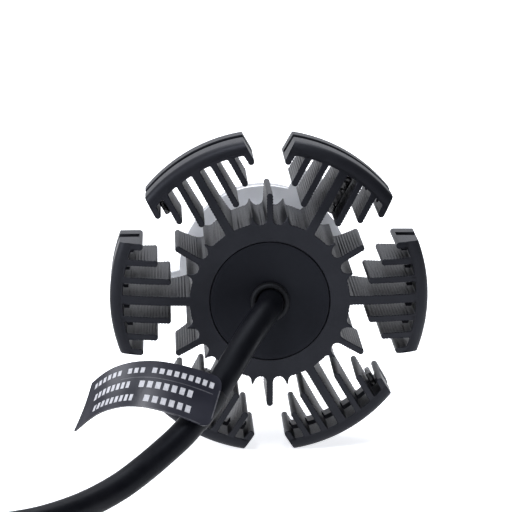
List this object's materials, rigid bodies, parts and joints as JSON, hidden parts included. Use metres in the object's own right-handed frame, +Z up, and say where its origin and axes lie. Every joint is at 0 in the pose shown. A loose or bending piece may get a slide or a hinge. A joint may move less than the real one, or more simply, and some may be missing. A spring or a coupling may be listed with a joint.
{
  "type": "LED headlight bulb",
  "caption": "LED headlight bulb with a six-armed black finned heatsink, an LED blade, a turning silver base flange on a sliding sleeve, and a coiled lead with a bladed plug.",
  "frame": {"origin": "on the bulb's axis, in the plane of the front faces of the flange's lugs, which seat against the lamp", "axes": "+Y along the bulb's axis, from the heatsink to the LED blade's tip; +Z up, with one heatsink gap straight up; +X to the right as seen from the heatsink's end"},
  "size_m": [0.1379, 0.1408, 0.0601],
  "materials": {
    "black_aluminium": "black anodised, satin, sawn fins with fine lines",
    "cover_black": "satin black cover",
    "rubber_black": "satin black rubber and cord sheath",
    "silver": "bright silver",
    "steel": "plain steel",
    "copper": "copper",
    "brass": "brass",
    "board": "green circuit board",
    "white_plastic": "white insulator",
    "phosphor": "yellow LED phosphor",
    "plug_black": "satin black plastic",
    "wire_red": "red wire sheath",
    "label": "charcoal strip with plain light dashes"
  },
  "bodies": {
    "housing": {"heatsink_hub": "black_aluminium", "heatsink_arm_1": "black_aluminium", "heatsink_arm_2": "black_aluminium", "heatsink_arm_3": "black_aluminium", "heatsink_arm_4": "black_aluminium", "heatsink_arm_5": "black_aluminium", "heatsink_arm_6": "black_aluminium", "rear_cover": "cover_black", "cover_seal": "rubber_black", "cord_grommet": "rubber_black", "driver_board": "board", "driver_inductor": "copper", "driver_capacitor_left": "steel", "driver_capacitor_right": "steel", "driver_chip": "plug_black", "lead_wire_ground": "plug_black", "lead_wire_low": "wire_red", "lead_wire_high": "white_plastic", "board_spacer": "white_plastic", "led_wire_left": "wire_red", "led_wire_right": "plug_black", "body_screw_1": "steel", "body_screw_2": "steel", "body_screw_3": "steel", "lamp_body": "black_aluminium", "neck_ring": "rubber_black", "core_blade": "copper", "led_board_left": "copper", "led_board_right": "copper", "led_low_left": "phosphor", "led_low_right": "phosphor", "led_high_left": "phosphor", "led_high_right": "phosphor", "low_beam_shield_left": "steel", "low_beam_shield_right": "steel", "front_cap": "black_aluminium", "board_screw_left_front": "brass", "board_screw_left_rear": "brass", "board_screw_right_front": "brass", "board_screw_right_rear": "brass", "damper_pad_1": "rubber_black", "damper_pad_2": "rubber_black", "damper_pad_3": "rubber_black", "damper_pad_4": "rubber_black", "power_cord": "rubber_black", "cord_coil": "rubber_black", "cord_tail": "rubber_black", "cord_tie": "plug_black", "plug_housing": "plug_black", "plug_boot": "rubber_black", "plug_blade_left": "brass", "plug_blade_right": "brass", "plug_blade_top": "brass", "label_flag": "label"},
    "sleeve": {"collar_sleeve": "steel", "snap_ring": "steel"},
    "flange_body": {"flange": "silver"},
    "set_screw_left_body": {"set_screw_left": "steel"},
    "set_screw_right_body": {"set_screw_right": "steel"}
  },
  "joints": [
    {"name": "sleeve_slide", "type": "slide", "parent": "housing", "child": "sleeve", "axis": [0, 1, 0], "range_m": [0, 0.004]},
    {"name": "flange_turn", "type": "hinge", "parent": "sleeve", "child": "flange_body", "pos_m": [0, 0, 0], "axis": [0, 1, 0], "continuous": true},
    {"name": "set_screw_left_back_out", "type": "slide", "parent": "sleeve", "child": "set_screw_left_body", "axis": [-1, 0, 0], "range_m": [0, 0.0016]},
    {"name": "set_screw_right_back_out", "type": "slide", "parent": "sleeve", "child": "set_screw_right_body", "axis": [1, 0, 0], "range_m": [0, 0.0016]}
  ]
}
